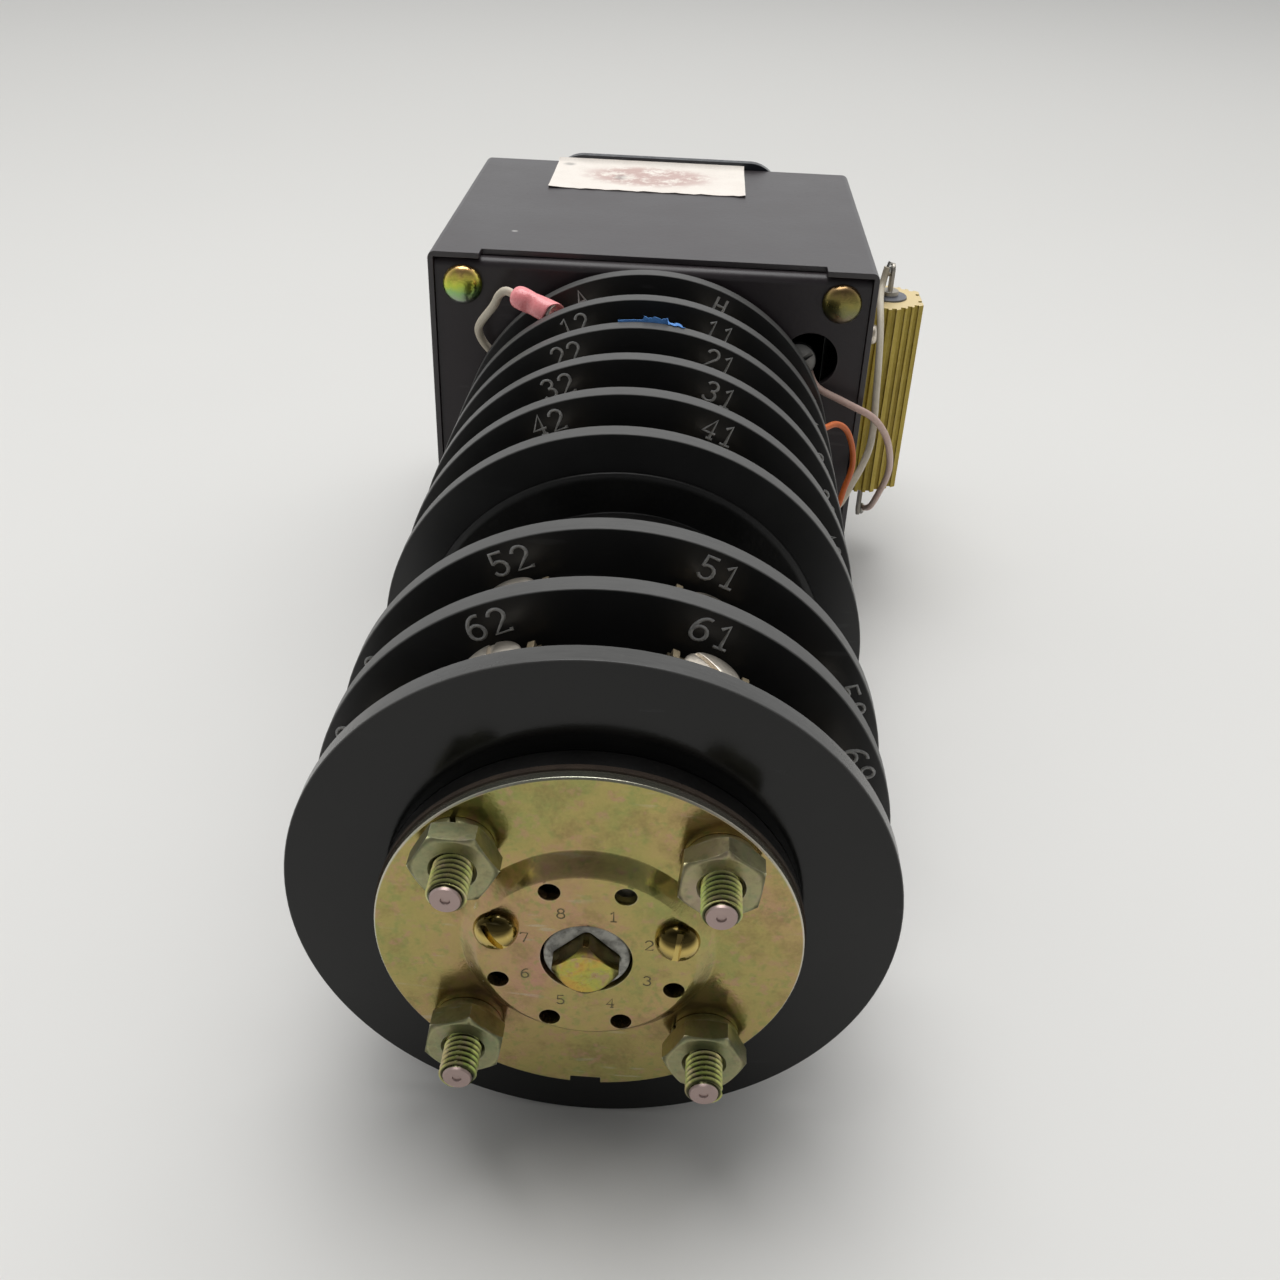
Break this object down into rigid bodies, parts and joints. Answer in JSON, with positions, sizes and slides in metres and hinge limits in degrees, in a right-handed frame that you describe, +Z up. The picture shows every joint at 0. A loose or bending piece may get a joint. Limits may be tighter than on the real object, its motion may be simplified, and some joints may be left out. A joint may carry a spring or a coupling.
{
  "type": "rotary control switch",
  "caption": "Panel-mounted rotary control switch: oval handle, sheet-metal trip box with a finned resistor, a long stack of barrier discs with screw terminals, and a numbered rear stop plate.",
  "frame": {"origin": "on the shaft axis, in the box's front face, at the centre of the panel screw holes", "axes": "+Y along the shaft from the handle towards the rear stop plate, +Z up, +X to the right seen from the handle"},
  "size_m": [0.1078, 0.2753, 0.084],
  "materials": {
    "box_paint": "dark purple-brown baked enamel, semi-gloss",
    "plate_black": "dark navy enamel, satin",
    "front_steel": "dark grey enamel",
    "zinc_yellow": "yellow chromate over zinc, worn",
    "zinc_clear": "clear zinc plate",
    "steel_plain": "plain machined steel",
    "nickel": "nickel plate, dull",
    "brass": "plain brass",
    "copper": "bare copper alloy",
    "laminate_disc": "black laminate, light grey sawn rim",
    "phenolic_black": "black phenolic moulding",
    "phenolic_brown": "brown phenolic moulding",
    "gasket_paper": "rough brown laminate",
    "handle_plastic": "black moulded thermoset",
    "target_orange": "orange enamel, one end black",
    "coil_wrap": "brown varnished coil",
    "gold_anodised": "gold anodised extrusion, weathered",
    "ceramic": "grey ceramic with tinned lugs",
    "wire_white": "off-white insulation",
    "wire_pink": "pinkish white insulation",
    "wire_orange": "orange insulation",
    "sleeve_pink": "translucent red insulation sleeve"
  },
  "bodies": {
    "housing": {"front_plate": "front_steel", "rear_panel": "box_paint", "box_cover": "box_paint", "corner_posts": "zinc_clear", "box_bolts": "zinc_yellow", "nameplate": "plate_black", "small_screws": "nickel", "shaft_bushings": "brass", "solenoid_frame": "zinc_clear", "solenoid_coil": "coil_wrap", "torsion_spring": "steel_plain", "front_spacer": "phenolic_black", "barrier_disc_1": "laminate_disc", "barrier_disc_2": "laminate_disc", "barrier_disc_3": "laminate_disc", "barrier_disc_4": "laminate_disc", "barrier_disc_5": "laminate_disc", "barrier_disc_6": "laminate_disc", "barrier_disc_7": "laminate_disc", "barrier_disc_8": "laminate_disc", "barrier_disc_9": "laminate_disc", "stator_ring_1": "phenolic_black", "stator_ring_2": "phenolic_black", "stator_ring_3": "phenolic_black", "stator_ring_4": "phenolic_black", "stator_ring_5": "phenolic_black", "stator_ring_6": "phenolic_black", "stator_ring_7": "phenolic_black", "terminals_1": "brass", "terminals_2": "brass", "terminals_3": "brass", "terminals_4": "brass", "terminals_5": "brass", "terminals_6": "brass", "terminals_7": "brass", "terminal_screws": "nickel", "hub_spacer": "phenolic_black", "rear_housing": "phenolic_black", "rear_gasket": "gasket_paper", "end_plate": "zinc_yellow", "stop_screws": "brass", "tie_studs": "zinc_yellow", "stud_nuts": "zinc_yellow", "lock_washers": "zinc_yellow", "resistor_body": "gold_anodised", "resistor_core": "ceramic", "white_leads": "wire_white", "pink_lead": "wire_pink", "orange_lead": "wire_orange", "crimp_sleeve": "sleeve_pink"},
    "shaft": {"shaft": "zinc_yellow", "handle": "handle_plastic", "handle_screw": "nickel", "target_flag": "target_orange", "latch_cam": "steel_plain", "deck_rotors": "phenolic_brown", "rotor_blades": "copper", "stop_hub": "zinc_clear"},
    "latch_lever": {"latch_lever": "zinc_clear"},
    "plunger": {"plunger": "steel_plain"}
  },
  "joints": [
    {"name": "shaft_turn", "type": "hinge", "parent": "housing", "child": "shaft", "pos_m": [0, 0, 0], "axis": [0, 1, 0], "range_deg": [0, 45], "stiffness_Nm_per_rad": 0.8, "springref_deg": -20.05},
    {"name": "plunger_slide", "type": "slide", "parent": "housing", "child": "plunger", "axis": [-1, 0, 0], "range_m": [0, 0.003], "stiffness_N_per_m": 150, "springref_m": -0.002},
    {"name": "lever_pivot", "type": "hinge", "parent": "housing", "child": "latch_lever", "pos_m": [0.026, 0.068, -0.014], "axis": [0, 1, 0], "range_deg": [0, 10.8]}
  ],
  "couplings": [
    {"joint": "lever_pivot", "follows": "plunger_slide", "rad_per_m": 62.5}
  ]
}
